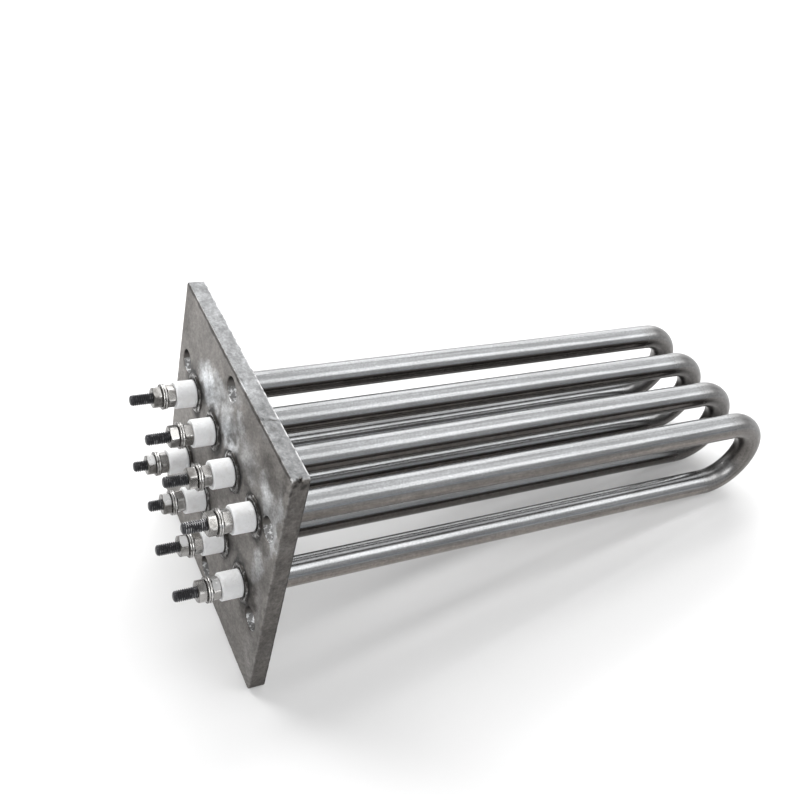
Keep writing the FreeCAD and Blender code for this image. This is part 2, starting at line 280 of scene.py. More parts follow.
sheathFinish = {
    "clean": (0.206, 0.210, 0.214), "dull": (0.150, 0.148, 0.146), "bend": (0.128, 0.124, 0.120),
    # the next three colours are painted light: darker, browner undersides, a dark band of painted
    # reflection, and painted shade under the legs behind the nearest and in the tube's mouth
    "low": (0.176, 0.156, 0.140), "paintedDarkBand": (0.110, 0.103, 0.099), "soot": (0.03, 0.028, 0.026),
    "roughness": (0.18, 0.27), "bendFrom": (192.0, 204.0), "mouthShadeEnd": (-5.4, -6.0),
    "shadedBehindFrom": (-24.0, -18.0),                            # along Y, painted shade under the legs behind the nearest
    "nearestLitUnder": ((-9.0, -12.0), (-20.0, -26.0), 1.5),      # where in Z and Y, how much a painted reflection lightens it
}


def makeSheathSteel():
    finish = sheathFinish
    material, tree, shader, position = newMaterial("sheathSteel", finish["clean"], 1.0, 0.24)
    along = addNode(tree, "Attribute", attribute_name="alongTube").outputs["Vector"]
    place, facing = axesOf(tree, position), facingOf(tree)
    lines = addLines(tree, along, 90.0, 4.0, (1, 14, 14))
    patches = addClouds(tree, along, 55.0, 0.38, 0.66)
    bend = rampAt(tree, place["X"], finish["bendFrom"])
    colour = blendColours(tree, times(tree, patches, 0.18), finish["clean"], finish["dull"])
    # painted shade: the sides turned to the table are darker and browner, standing in for the
    # floor they mirror
    shadedUnderside = ramp(tree, facing["Z"], 0.42, 0.28)
    colour = blendColours(tree, times(tree, shadedUnderside, 0.85), colour, finish["low"])
    # painted shade under the legs behind the nearest
    shadedBehind = times(tree, rampAt(tree, place["Y"], finish["shadedBehindFrom"], 0.0, 0.6), shadedUnderside)
    colour = blendColours(tree, shadedBehind, colour, finish["soot"])
    # painted reflection: a dark band on the sides, a little above the middle
    paintedDarkBand = times(tree, ramp(tree, facing["Z"], 0.48, 0.40), ramp(tree, facing["Z"], 0.10, 0.24))
    colour = blendColours(tree, times(tree, paintedDarkBand, 0.75), colour, finish["paintedDarkBand"])
    # painted reflection: the nearest lower leg is lighter underneath
    inHeight, inDepth, lighter = finish["nearestLitUnder"]
    litUnderneath = times(tree, rampAt(tree, place["Z"], inHeight), rampAt(tree, place["Y"], inDepth))
    colour = shadeColour(tree, colour, blendValues(tree, times(tree, litUnderneath, shadedUnderside), 1.0, lighter))
    colour = blendColours(tree, times(tree, bend, 0.6), colour, finish["bend"])
    uneven = larger(tree, shadedUnderside, times(tree, bend, 0.8))
    colour = addMottle(tree, colour, along, 230.0, blendValues(tree, uneven, 0.98, 0.84),
                       blendValues(tree, uneven, 1.02, 1.16))
    colour = addMottle(tree, colour, along, 1100.0, blendValues(tree, uneven, 0.96, 0.78),
                       blendValues(tree, uneven, 1.04, 1.22))
    colour = addMottle(tree, colour, along, 1700.0, 0.86, 1.14)
    drawn = addLines(tree, along, 90.0, 5.0, (0.25, 6, 6))
    colour = shadeColour(tree, colour, ramp(tree, drawn, 0.35, 0.65, 0.84, 1.14))
    # painted shade in the tube's mouth, beside the bush
    colour = blendColours(tree, rampAt(tree, place["X"], finish["mouthShadeEnd"]), colour,
                          finish["soot"])
    roughness = calculate(tree, "ADD", blendValues(tree, lines, *finish["roughness"]),
                          times(tree, bend, 0.10))
    setInputs(tree, shader, {"Base Color": colour, "Roughness": roughness,
                             "Normal": addBump(tree, lines, 0.35, 0.04)})
    return material


plateFinish = {
    "base": (0.178, 0.167, 0.156), "buffedAndSheen": (0.66, 0.68, 0.70), "stain": (0.03, 0.026, 0.023),
    # the side colour is painted shade on the cut sides
    "side": (0.112, 0.104, 0.098), "top": (0.235, 0.24, 0.245), "burr": (0.62, 0.62, 0.62),
    "soot": (0.012, 0.011, 0.010), "holeWall": (0.17, 0.16, 0.15),
    # the shiny colour on the next line paints glints low in the bolt holes
    "holeDust": (0.28, 0.28, 0.28), "holeGlint": (0.95, 0.96, 0.97),
    "drawnOut": (1.0, 1.0, 1.6),
    # places of the effects: distance from a terminal, then along Y and along Z
    "haze": (12.5, 7.0), "outline": (8.4, 7.4), "holeReach": 4.35,
    "sideFrom": 49.4, "topNear": (25.0, -38.0), "nearEnd": (-48.0, -49.2),
    "sideShadeLow": (15.0, 45.0), "topFrom": (48.8, 49.6), "shadowUnderTop": (48.2, 49.2),
    "bottomRim": (-48.9, -49.7), "topRear": (-3.0, -0.8), "rearRim": (-0.8, -0.2),
    "worn": (0.8, 0.2),
    # uneven skin: scale, darkest, lightest
    "skin": ((110.0, 0.77, 1.21), (420.0, 0.72, 1.28), (1200.0, 0.72, 1.28)),
    # marks below the near top corner and along the top: centre, reach (X, Y, Z), colour, strength
    "marks": [
        ((-4.6, -50, 47.6), (1.3, 1, 0.9), "soot", 0.9),
        ((-1.6, -50, 46.9), (1.5, 1, 1.5), "soot", 0.8),
        ((-3.1, -50, 48.5), (1.6, 1, 0.6), "soot", 0.9),
        ((-5.4, -50, 44.5), (0.7, 1, 2.2), "soot", 0.6),
        ((-5.6, -7.5, 50), (1.5, 3.5, 1.5), "buffedAndSheen", 0.17),
        ((-2.2, -22.6, 50), (2.2, 0.8, 1.5), "buffedAndSheen", 0.2),
        ((-2.8, -24.0, 50), (1.8, 0.5, 1.2), "stain", 0.8),
        ((-3.4, -27.7, 50), (1.4, 1.7, 1.2), "stain", 0.45),
        ((-3.0, -35, 50), (2.6, 5, 1.5), "stain", 0.12),
        ((-4.4, -46, 50), (1.2, 3, 1), "stain", 0.3),
        ((-2.0, 12, 50), (2.0, 6, 1.5), "stain", 0.1)],
    # soft buffed spots and painted reflections on the terminal face: centre (Y, Z), reach (Y, Z),
    # strength
    "buffedAndSheenSpots": [
        ((-46, -38), (5, 14), 0.08), ((17, 28), (13, 8), 1.0), ((9, 36), (7, 5), 0.55),
        ((-2, 28), (9, 8), 0.85), ((-11, 38), (4, 7), 0.45), ((-19, 30), (10, 9), 0.32),
        ((-38, 30), (7, 8), 0.6), ((-46, 27), (3, 16), 0.6), ((-41, 3), (5, 7), 0.45),
        ((-37, -2), (4, 5), 0.35), ((38, 12), (5, 4), 0.4), ((-46, -12), (3, 10), 0.1)],
    "darkSpots": [
        ((-34, -34), (48, 34), 0.12), ((47, 40), (9, 15), 0.35), ((-35, 40), (10, 8), 0.6),
        ((-39, -13), (8, 7), 1.0), ((-40, -20), (5, 9), 1.0), ((-36, -24), (5, 6), 0.6),
        ((-47, -28), (4, 14), 0.25), ((-16, -8), (8, 10), 0.35), ((-18, -28), (7, 7), 0.5),
        ((5, -6), (7, 7), 0.6), ((-27, 46), (16, 4), 0.25), ((26, 12), (5, 7), 0.6),
        ((-47, 44), (5, 6), 0.8), ((-6, 24), (4, 3), 0.5), ((14, 20), (5, 3), 0.5),
        ((-48, -20), (3, 22), 0.4), ((-43, 12), (4, 4), 0.5), ((32, 30), (9, 5), 0.3)],
    "spotDepth": 4.0,
    # how far clouds shift the outlines of spots, welds, top edge and marks
    "raggedBy": ((0, 22, 22), (0, 8, 8), (3, 0, 4), (6, 6, 6)),
    "plateHalf": 50.0, "plateMiddle": 3.0,     # to the sides, and from either face
}


def addSpots(tree, vector, spots):
    total = 0.0
    for (y, z), (reachY, reachZ), strength in spots:
        mask = addSpot(tree, vector, (stack["terminalFace"], y, z),
                       (plateFinish["spotDepth"], reachY, reachZ))
        total = larger(tree, total, times(tree, mask, strength))
    return total


def makePlateSteel():
    finish = plateFinish
    material, tree, shader, place = newMaterial("plateSteel", finish["base"], 1.0, 0.42)
    # clouds are drawn out from corner to corner
    wide = addNode(tree, "Mapping", {
        "Vector": place, "Rotation": (math.radians(45), 0, 0), "Scale": finish["drawnOut"]},
        vector_type="TEXTURE").outputs[0]
    apart, facing = axesOf(tree, place), facingOf(tree)
    widthAway = absolute(tree, apart["Y"])
    # spots with ragged outlines, broken up by clouds
    away = cloudShift(tree, wide, 130.0, 5.0, 0.6)
    ragged, slight, shadowUnderTop, bent = (addShift(tree, away, reach, place)
                                      for reach in finish["raggedBy"])
    soft = addClouds(tree, wide, 190.0, 0.30, 0.62, 6.0)
    # buffed patches; the brightest are painted reflections of the bushes
    buffedAndSheen = times(tree, addSpots(tree, ragged, finish["buffedAndSheenSpots"]),
                   blendValues(tree, soft, 0.6, 1.0))
    elsewhere = addClouds(tree, wide, 60.0, 0.56, 0.78, 5.0)
    buffedAndSheen = larger(tree, buffedAndSheen, times(tree, elsewhere, 0.4))
    dark = times(tree, addSpots(tree, ragged, finish["darkSpots"]),
                 blendValues(tree, soft, 1.0, 0.72))
    colour = blendColours(tree, buffedAndSheen, finish["base"], finish["buffedAndSheen"])
    colour = blendColours(tree, dark, colour, finish["stain"])
    # soot round the welds, darkest along their outline, where painted shade fills the crease at
    # the toe
    haze = rampAt(tree, terminalDistance(tree, ragged), finish["haze"], 0.0, 0.72)
    colour = blendColours(tree, haze, colour, finish["stain"])
    outline = rampAt(tree, terminalDistance(tree, slight), finish["outline"], 0.0, 0.95)
    colour = blendColours(tree, outline, colour, finish["soot"])
    # painted shade: the cut sides are darker, most towards the top; the top edge was ground
    # brighter
    atSide = calculate(tree, "GREATER_THAN", widthAway, finish["sideFrom"] * mm)
    sideways = times(tree, atSide, ramp(tree, absolute(tree, facing["Y"]),
                                        0.5, 0.9, 0.0, 0.92))
    side = shadeColour(tree, finish["side"],
                       rampAt(tree, apart["Z"], finish["sideShadeLow"], 1.0, 0.82))
    colour = blendColours(tree, sideways, colour, side)
    atTop = rampAt(tree, apart["Z"], finish["topFrom"])
    upward = times(tree, atTop, ramp(tree, facing["Z"], 0.5, 0.9, 0.0, 0.9))
    top = shadeColour(tree, finish["top"], rampAt(tree, apart["Y"], finish["topNear"], 1.0, 0.78))
    top = addMottle(tree, top, place, 260.0, 0.76, 1.22)
    colour = blendColours(tree, upward, colour, top)
    # painted shadow: a thin dark line on the front face just under the top edge
    shadowUnderEdge = times(tree, rampAt(tree, axesOf(tree, shadowUnderTop)["Z"], finish["shadowUnderTop"]),
                      ramp(tree, facing["X"], -0.3, -0.8, 0.0, 0.85))
    colour = blendColours(tree, shadowUnderEdge, colour, finish["stain"])
    for scale, low, high in finish["skin"]:
        colour = addMottle(tree, colour, wide, scale, low, high)
    # rubbed edges, brightest round the top, along its rear and at its near end
    half, middle = finish["plateHalf"] * mm, finish["plateMiddle"] * mm
    fromSide = calculate(tree, "SUBTRACT", half, larger(
        tree, widthAway, absolute(tree, apart["Z"])))
    fromFace = calculate(tree, "SUBTRACT", middle, calculate(
        tree, "ABSOLUTE", calculate(tree, "ADD", apart["X"], middle)))
    edges = rampAt(tree, larger(tree, fromSide, fromFace), finish["worn"])
    chipped = addClouds(tree, place, 340.0, 0.36, 0.58)
    brightest = larger(tree, rampAt(tree, apart["X"], finish["topRear"], 0.06, 0.8),
                       rampAt(tree, apart["Y"], finish["nearEnd"]))
    edges = times(tree, times(tree, edges, chipped), blendValues(tree, atTop, 0.12, brightest))
    colour = blendColours(tree, edges, colour, finish["burr"])
    # grime along the bottom and rear edges and below the near top corner
    rear = times(tree, rampAt(tree, apart["X"], finish["rearRim"]),
                 calculate(tree, "SUBTRACT", 1.0, atTop))
    rim = larger(tree, rampAt(tree, apart["Z"], finish["bottomRim"]), rear)
    colour = blendColours(tree, times(tree, rim, 0.75), colour, finish["soot"])
    for centre, reach, tone, strength in finish["marks"]:
        mark = addSpot(tree, bent, centre, reach)
        colour = blendColours(tree, times(tree, mark, strength), colour, finish[tone])
    # bolt holes: painted shade on the walls above, dusty grey with painted glints low down
    toHole = calculate(tree, "MINIMUM", addDistance(tree, place, *stack["sideHole"]),
                       addDistance(tree, place, *stack["endHole"]))
    wall = times(tree, calculate(tree, "LESS_THAN", toHole, finish["holeReach"] * mm),
                 calculate(tree, "LESS_THAN", absolute(tree, facing["X"]), 0.4))
    lowDown = ramp(tree, facing["Z"], 0.25, 0.75)
    paintedGlints = times(tree, lowDown, addClouds(tree, place, 900.0, 0.50, 0.62))
    inside = blendColours(tree, ramp(tree, facing["Z"], -0.45, 0.30), finish["soot"],
                          finish["holeWall"])
    inside = blendColours(tree, lowDown, inside, finish["holeDust"])
    inside = blendColours(tree, paintedGlints, inside, finish["holeGlint"])
    dusty = times(tree, wall, blendValues(tree, lowDown, 0.1, 0.6))
    roughness = calculate(tree, "ADD", blendValues(tree, buffedAndSheen, 0.47, 0.33),
                          times(tree, dark, 0.15))
    waves = addBump(tree, addLines(tree, place, 90.0, 3.0), 0.5, 0.5)
    setInputs(tree, shader, {
        "Base Color": blendColours(tree, wall, colour, inside),
        "Metallic": calculate(tree, "SUBTRACT", 1.0, dusty),
        "Roughness": blendValues(tree, wall, roughness, 0.42),
        "Normal": addBump(tree, addLines(tree, place, 900.0, 4.0), 0.4, 0.08, Normal=waves)})
    return material


fastenerFinish = {
    "base": (0.37, 0.362, 0.35), "dirt": (0.09, 0.082, 0.075), "face": (0.070, 0.065, 0.060),
    "edge": (0.82, 0.815, 0.80), "cornerFrom": (3.72, 3.92),
    "seams": (-13.7, -16.7, -18.4), "seamHalf": 0.2,     # places along X where dirt sits
    # painted sheen on four upturned flats, pale and less metallic: their middles, and how far
    # round each
    "paintedSheen": (0.72, 0.72, 0.72), "sheenReach": 3.4,
    "sheenFlats": [(-19.9, 29.3, -12.7), (-19.9, 9.0, -12.7), (-19.9, -11.1, -12.6),
                  (-15.2, -31.9, -12.9)],
}


def makeFastenerSteel():
    finish = fastenerFinish
    material, tree, shader, place = newMaterial("fastenerSteel", finish["base"], 1.0, 0.3)
    facing, along = facingOf(tree), axesOf(tree, place)["X"]
    dirt = addClouds(tree, place, 240.0, 0.47, 0.72, 3.0)
    colour = blendColours(tree, times(tree, dirt, 0.65), finish["base"], finish["dirt"])
    # corners of the nuts and rims of the washers are rubbed bright, broken up by clouds
    corner = times(tree, rampAt(tree, terminalDistance(tree, place), finish["cornerFrom"]),
                   addClouds(tree, place, 500.0, 0.38, 0.60, 3.0))
    colour = blendColours(tree, times(tree, corner, 0.55), colour, finish["edge"])
    # bevels and flat faces hold the dirt
    flat = ramp(tree, absolute(tree, facing["X"]), 0.55, 0.85)
    colour = blendColours(tree, times(tree, flat, 0.7), colour, finish["face"])
    # painted sheen: four upturned flats made pale
    paintedSheen = 0.0
    for centre in finish["sheenFlats"]:
        paintedSheen = larger(tree, paintedSheen, addSpot(tree, place, centre, [finish["sheenReach"]] * 3))
    paintedSheen = times(tree, paintedSheen, ramp(tree, facing["Z"], 0.80, 0.88))
    colour = blendColours(tree, paintedSheen, colour, finish["paintedSheen"])
    # dirt between nuts, washers and bush
    seamHalf = finish["seamHalf"]
    for seam in finish["seams"]:
        away = absolute(tree, calculate(tree, "SUBTRACT", along, seam * mm))
        mask = rampAt(tree, away, (seamHalf * 1.5, seamHalf * 0.5), 0.0, 0.9)
        colour = blendColours(tree, mask, colour, finish["face"])
    setInputs(tree, shader, {
        "Base Color": colour, "Roughness": blendValues(tree, dirt, 0.22, 0.40),
        "Metallic": ramp(tree, paintedSheen, 0.0, 1.0, 1.0, 0.35),
        "Normal": addBump(tree, addLines(tree, place, 700.0, 2.0), 0.15, 0.04)})
    return material


pinFinish = {
    "base": (0.040, 0.040, 0.043), "crest": (0.72, 0.72, 0.73), "crestFrom": (1.78, 1.94),
    "rubbedAndLitY": (-27.0, -29.0), "rubbedAndLitZ": (0.0, 10.0),      # the nearest upper pin, where a painted highlight joins the crest wear
}


def makePinSteel():
    finish = pinFinish
    material, tree, shader, place = newMaterial("pinSteel", finish["base"], 0.85, 0.38)
    apart, facing = axesOf(tree, place), facingOf(tree)
    patches = addClouds(tree, place, 700.0, 0.50, 0.72)
    crest = rampAt(tree, terminalDistance(tree, place), finish["crestFrom"])
    rubbedAndLit = times(tree, rampAt(tree, apart["Y"], finish["rubbedAndLitY"]),
                   rampAt(tree, apart["Z"], finish["rubbedAndLitZ"]))
    # painted highlight: on the nearest upper pin the crests brighten on their upward side
    worn = times(tree, addClouds(tree, place, 450.0, 0.42, 0.56, 3.0),
                 ramp(tree, facing["Z"], -0.1, 0.5, 0.1, 1.0))
    either = times(tree, crest, blendValues(tree, rubbedAndLit, times(tree, patches, 0.5), worn))
    setInputs(tree, shader, {
        "Base Color": blendColours(tree, either, finish["base"], finish["crest"]),
        "Roughness": blendValues(tree, patches, 0.32, 0.5)})
    return material


ceramicFinish = {"base": (0.87, 0.873, 0.88), "grime": (0.68, 0.665, 0.64)}


def makeCeramic():
    finish = ceramicFinish
    material, tree, shader, place = newMaterial("whiteCeramic", finish["base"], 0.0, 0.62)
    grime = times(tree, addClouds(tree, place, 260.0, 0.48, 0.80, 6.0), 0.5)
    grain = addLines(tree, place, 1300.0, 5.0)
    setInputs(tree, shader, {
        "Base Color": blendColours(tree, grime, finish["base"], finish["grime"]),
        "Roughness": blendValues(tree, grain, 0.6, 0.9),
        "Normal": addBump(tree, grain, 1.0, 0.4)})
    return material


weldFinish = {
    # the bright colour paints glints on the crests; the next line places painted shade beside the
    # tube and along the toe
    "base": (0.19, 0.183, 0.177), "burnt": (0.022, 0.020, 0.018), "crest": (0.56, 0.56, 0.56),
    "shadowGap": (6.1, 5.6), "shadedToe": (6.4, 6.9), "raggedBy": (0, 3.5, 3.5),
}


def makeWeldMetal():
    finish = weldFinish
    material, tree, shader, place = newMaterial("weldMetal", finish["base"], 1.0, 0.38)
    burnt = addClouds(tree, place, 330.0, 0.40, 0.58)
    away = terminalDistance(tree, addShift(
        tree, cloudShift(tree, place, 420.0, 4.0), finish["raggedBy"], place))
    upper = ramp(tree, facingOf(tree)["Z"], -0.1, 0.5)
    # painted shade in the gap beside the tube and along the toe, with painted glints on the crests
    # between
    paintedShadeRims = larger(tree, rampAt(tree, away, finish["shadowGap"]),
                  rampAt(tree, away, finish["shadedToe"], 0.0, 0.95))
    crest = times(tree, addClouds(tree, place, 520.0, 0.46, 0.62, 3.0), 0.85)
    colour = blendColours(tree, crest, finish["base"], finish["crest"])
    # painted shade: the upward-facing side of the bead is darker, over its burnt patches
    dark = times(tree, burnt, blendValues(tree, upper, 0.7, 1.0))
    dark = larger(tree, paintedShadeRims, larger(tree, dark, times(tree, upper, 0.65)))
    setInputs(tree, shader, {
        "Base Color": blendColours(tree, dark, colour, finish["burnt"]),
        "Roughness": blendValues(tree, burnt, 0.28, 0.5)})
    return material


innerFinish = {"powder": (0.88, 0.87, 0.84), "wire": (0.42, 0.40, 0.38)}


def makeInner(name, colour, metallic, roughness):
    material, tree, shader, place = newMaterial(name, colour, metallic, roughness)
    grain = addClouds(tree, place, 900.0, 0.3, 0.8, 3.0)
    darker = tuple(part * 0.8 for part in colour)
    setInputs(tree, shader, {"Base Color": blendColours(tree, grain, colour, darker)})
    return material


finishes = {
    "sheath_steel": makeSheathSteel(),
    "plate_steel": makePlateSteel(),
    "fastener_steel": makeFastenerSteel(),
    "pin_steel": makePinSteel(),
    "ceramic": makeCeramic(),
    "weld_metal": makeWeldMetal(),
    "magnesia": makeInner("magnesiaPowder", innerFinish["powder"], 0.0, 0.9),
    "coil_wire": makeInner("coilWire", innerFinish["wire"], 1.0, 0.5),
}
slotOf = {entry["node"]: entry["material_slot"] for entry in frame["record"]["subparts"]}
for name, item in nodes.items():
    item.data.materials.clear()
    item.data.materials.append(finishes[slotOf[name]])
print("finishes made and laid on the frame's nodes:", len(finishes))


# helpers for meshes

def gridFaces(rows, columns, start=0):
    # quads between closed rings of points, one ring after another
    faces = []
    for row in range(rows - 1):
        for column in range(columns):
            here = start + row * columns
            after = (column + 1) % columns
            faces.append((here + column, here + after,
                          here + columns + after, here + columns + column))
    return faces


def newPiece(name, points, faces, slotName, replaced, sharpFrom=40, along=None):
    mesh = bpy.data.meshes.new(name)
    mesh.from_pydata([Vector(point) * mm for point in points], [], faces)
    if along:
        attribute = mesh.attributes.new("alongTube", "FLOAT_VECTOR", "POINT")
        attribute.data.foreach_set("vector", [part for point in along for part in point])
    # rings that meet are joined, and every face looks outward
    joined = bmesh.new()
    joined.from_mesh(mesh)
    bmesh.ops.remove_doubles(joined, verts=joined.verts, dist=0.002 * mm)
    bmesh.ops.recalc_face_normals(joined, faces=joined.faces)
    joined.to_mesh(mesh)
    joined.free()
    mesh.shade_smooth()
    mesh.set_sharp_from_angle(angle=math.radians(sharpFrom))
    piece = bpy.data.objects.new(name, mesh)
    bpy.context.scene.collection.objects.link(piece)
    mesh.materials.append(finishes[slotName])
    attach(piece, "root")
    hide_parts(*replaced)
    return piece


def ringAbout(x, radius, y, z, columns, turn=0.0):
    return [(x, y + radius * math.sin(turn + 2 * math.pi * step / columns),
             z + radius * math.cos(turn + 2 * math.pi * step / columns))
            for step in range(columns)]


def latheRings(profile, y, z, columns):
    # profile of (x, radius) taken round an axis along X
    return [ringAbout(x, radius, y, z, columns) for x, radius in profile]


def addRings(points, faces, rings):
    start = len(points)
    for ring in rings:
        points += ring
    faces += gridFaces(len(rings), len(rings[0]), start)


# the plate, its edges worn round

plateShape = {
    "half": 50.0, "front": -6.0, "corner": 1.6, "edgeRound": 0.6, "edgeVaries": 0.35,
    "perSide": 130, "perCorner": 8, "arcSteps": 5, "rim": 1.5, "grid": 2.6,
    "rowsAt": (-5.0, -4.2, -3.6, -3.3, -3.0, -2.7, -2.4, -1.7, -1.0), "sideWaves": 0.05,
    "boltRadius": 4.25, "boltBreak": 0.22, "tubeHole": 5.2, "mouth": 6.7, "mouthDepth": 1.5,
    "holeColumns": 44,
    # knocks in the upper front edge: place along Y, half length, depth
    "dents": [(33, 1.6, 0.35), (9, 2.2, 0.45), (-5, 3.2, 0.5), (-23.5, 1.6, 0.75),
              (-26.5, 1.0, 0.4), (-41, 1.4, 0.35)],
    "nick": (0.55, 0.7, 1.3),      # half width along X, depth, length along Y
}


def plateOutline():
    # places round the square with their outward direction
    half, corner = plateShape["half"], plateShape["corner"]
    flat = half - corner
    local = [(half, -flat + 2 * flat * step / plateShape["perSide"], 1.0, 0.0)
             for step in range(plateShape["perSide"])]
    for step in range(plateShape["perCorner"]):
        angle = math.pi / 2 * step / plateShape["perCorner"]
        outY, outZ = math.cos(angle), math.sin(angle)
        local.append((flat + corner * outY, flat + corner * outZ, outY, outZ))
    outline = []
    for cosine, sine in ((1, 0), (0, 1), (-1, 0), (0, -1)):
        outline += [(y * cosine - z * sine, y * sine + z * cosine,
                     outY * cosine - outZ * sine, outY * sine + outZ * cosine)
                    for y, z, outY, outZ in local]
    return outline


def edgeRadius(y, z, seed):
    slow = noise.noise((y * 0.08, z * 0.08, seed))
    quick = noise.noise((y * 0.55, z * 0.55, seed + 4.0))
    return plateShape["edgeRound"] + plateShape["edgeVaries"] * (0.6 * slow + 0.6 * quick)


def plateRows():
    # closed rows of points from the front rim over the edges to the back rim
    front, rim, steps = plateShape["front"], plateShape["rim"], plateShape["arcSteps"]
    nickHalf, nickDepth, nickLong = plateShape["nick"]
    columns = []
    for y, z, outY, outZ in plateOutline():
        knock = 0.0
        if outZ > 0.9:
            for centre, reach, depth in plateShape["dents"]:
                knock = max(knock, depth * (1 - ((y - centre) / reach) ** 2))
        frontRound = edgeRadius(y, z, 1.0) + knock
        backRound = edgeRadius(y, z, 8.0) * 0.7
        column = [(front, rim)]
        for step in range(steps + 1):
            angle = math.pi / 2 * step / steps
            column.append((front + frontRound * (1 - math.cos(angle)),
                           frontRound * (1 - math.sin(angle)) + 0.35 * knock * math.sin(angle)))
        for x in plateShape["rowsAt"]:
            x = min(max(x, front + frontRound + 0.02), -backRound - 0.02)
            fade = max(1 - (x - front) / 2.2, 0)
            wave = plateShape["sideWaves"] * (1 + noise.noise((x * 0.5, y * 0.3, z * 0.3)))
            column.append((x, wave + 0.35 * knock * fade))
        for step in range(steps, -1, -1):
            angle = math.pi / 2 * step / steps
            column.append((-backRound * (1 - math.cos(angle)), backRound * (1 - math.sin(angle))))
        column.append((0.0, rim))
        placed = []
        for x, inset in column:
            high = z - outZ * inset
            if z > 48 and y < nickLong - plateShape["half"]:
                high -= nickDepth * max(1 - abs(x - front / 2) / nickHalf, 0)
            placed.append((x, y - outY * inset, high))
        columns.append(placed)
    return [[column[row] for column in columns] for row in range(len(columns[0]))]


def fillFace(x, outline, holes):
    # triangles over one face of the plate, leaving its holes open
    flat = [(y, z) for _, y, z in outline]
    edges = [(index, (index + 1) % len(flat)) for index in range(len(flat))]
    for y, z, radius, ring in holes:
        start = len(flat)
        flat += [(py, pz) for _, py, pz in ring]
        edges += [(start + step, start + (step + 1) % len(ring)) for step in range(len(ring))]
    reach = plateShape["half"] - plateShape["rim"] - 1.2
    count = int(2 * reach / plateShape["grid"])
    for row in range(count + 1):
        for column in range(count + 1):
            y, z = -reach + 2 * reach * column / count, -reach + 2 * reach * row / count
            if all(math.hypot(y - hy, z - hz) > radius + 0.7 for hy, hz, radius, _ in holes):
                flat.append((y, z))
    found = geometry.delaunay_2d_cdt([Vector(place) for place in flat], edges, [], 1, 1e-5)
    points = [(x, place.x, place.y) for place in found[0]]
    faces = []
    for face in found[2]:
        middle = sum((found[0][index] for index in face), Vector((0, 0))) / len(face)
        if all(math.hypot(middle.x - y, middle.y - z) > radius * 0.997
               for y, z, radius, _ in holes):
            faces.append(tuple(face))
    return points, faces


def makePlate():
    points, faces, rows = [], [], plateRows()
    addRings(points, faces, rows)
    front, columns = plateShape["front"], plateShape["holeColumns"]
    radius, broken = plateShape["boltRadius"], plateShape["boltBreak"]
    bolt = [(front, radius + broken), (front + broken, radius), (front / 2, radius),
            (-broken, radius), (0.0, radius + broken)]
    hole = plateShape["tubeHole"]
    tube = [(front, plateShape["mouth"]), (front + plateShape["mouthDepth"], hole), (0.0, hole)]
    frontHoles, backHoles = [], []
    (sideY, sideZ), (endY, endZ) = stack["sideHole"], stack["endHole"]
    drilled = [(y, z, bolt) for y, z in (
        (sideY, sideZ), (sideY, -sideZ), (-sideY, sideZ), (-sideY, -sideZ),
        (endY, endZ), (endY, -endZ))]
    drilled += [(y, z, tube) for _, y, z in terminals]
    for y, z, profile in drilled:
        rings = latheRings(profile, y, z, columns)
        addRings(points, faces, rings)
        frontHoles.append((y, z, profile[0][1], rings[0]))
        backHoles.append((y, z, profile[-1][1], rings[-1]))
    for x, outline, holes in ((front, rows[0], frontHoles), (0.0, rows[-1], backHoles)):
        more, triangles = fillFace(x, outline, holes)
        start = len(points)
        points += more
        faces += [tuple(start + index for index in face) for face in triangles]
    return newPiece("plate", points, faces, "plate_steel", ["flange_plate"], sharpFrom=42)


plate = makePlate()
print("plate worn:", len(plate.data.polygons), "faces")


# the tubes

tubeShape = {
    "radius": 5.1, "wall": 0.7, "legHalf": 16.0, "bendAt": 200.0, "columns": 64,
    "straightStep": 5.0, "bendSteps": 40, "lip": 0.16, "bow": 0.10, "flattened": 0.035,
}


def tubePath():
    # places along one hairpin: (distance, x, z, outward x, outward z, share of bend)
    start, far = stack["tubeEnd"] + tubeShape["lip"], tubeShape["bendAt"]
    half = tubeShape["legHalf"]
    steps = int((far - start) / tubeShape["straightStep"])
    legRun = [start + (far - start) * step / steps for step in range(steps)]
    path = [(x - start, x, half, 0.0, 1.0) for x in legRun]
    straight, bend = far - start, math.pi * half
    for step in range(tubeShape["bendSteps"] + 1):
        angle = math.pi * step / tubeShape["bendSteps"]
        outX, outZ = math.sin(angle), math.cos(angle)
        path.append((straight + angle * half, far + half * outX, half * outZ, outX, outZ))
    path += [(straight + bend + far - x, x, -half, 0.0, -1.0) for x in reversed(legRun)]
    return path, straight, bend


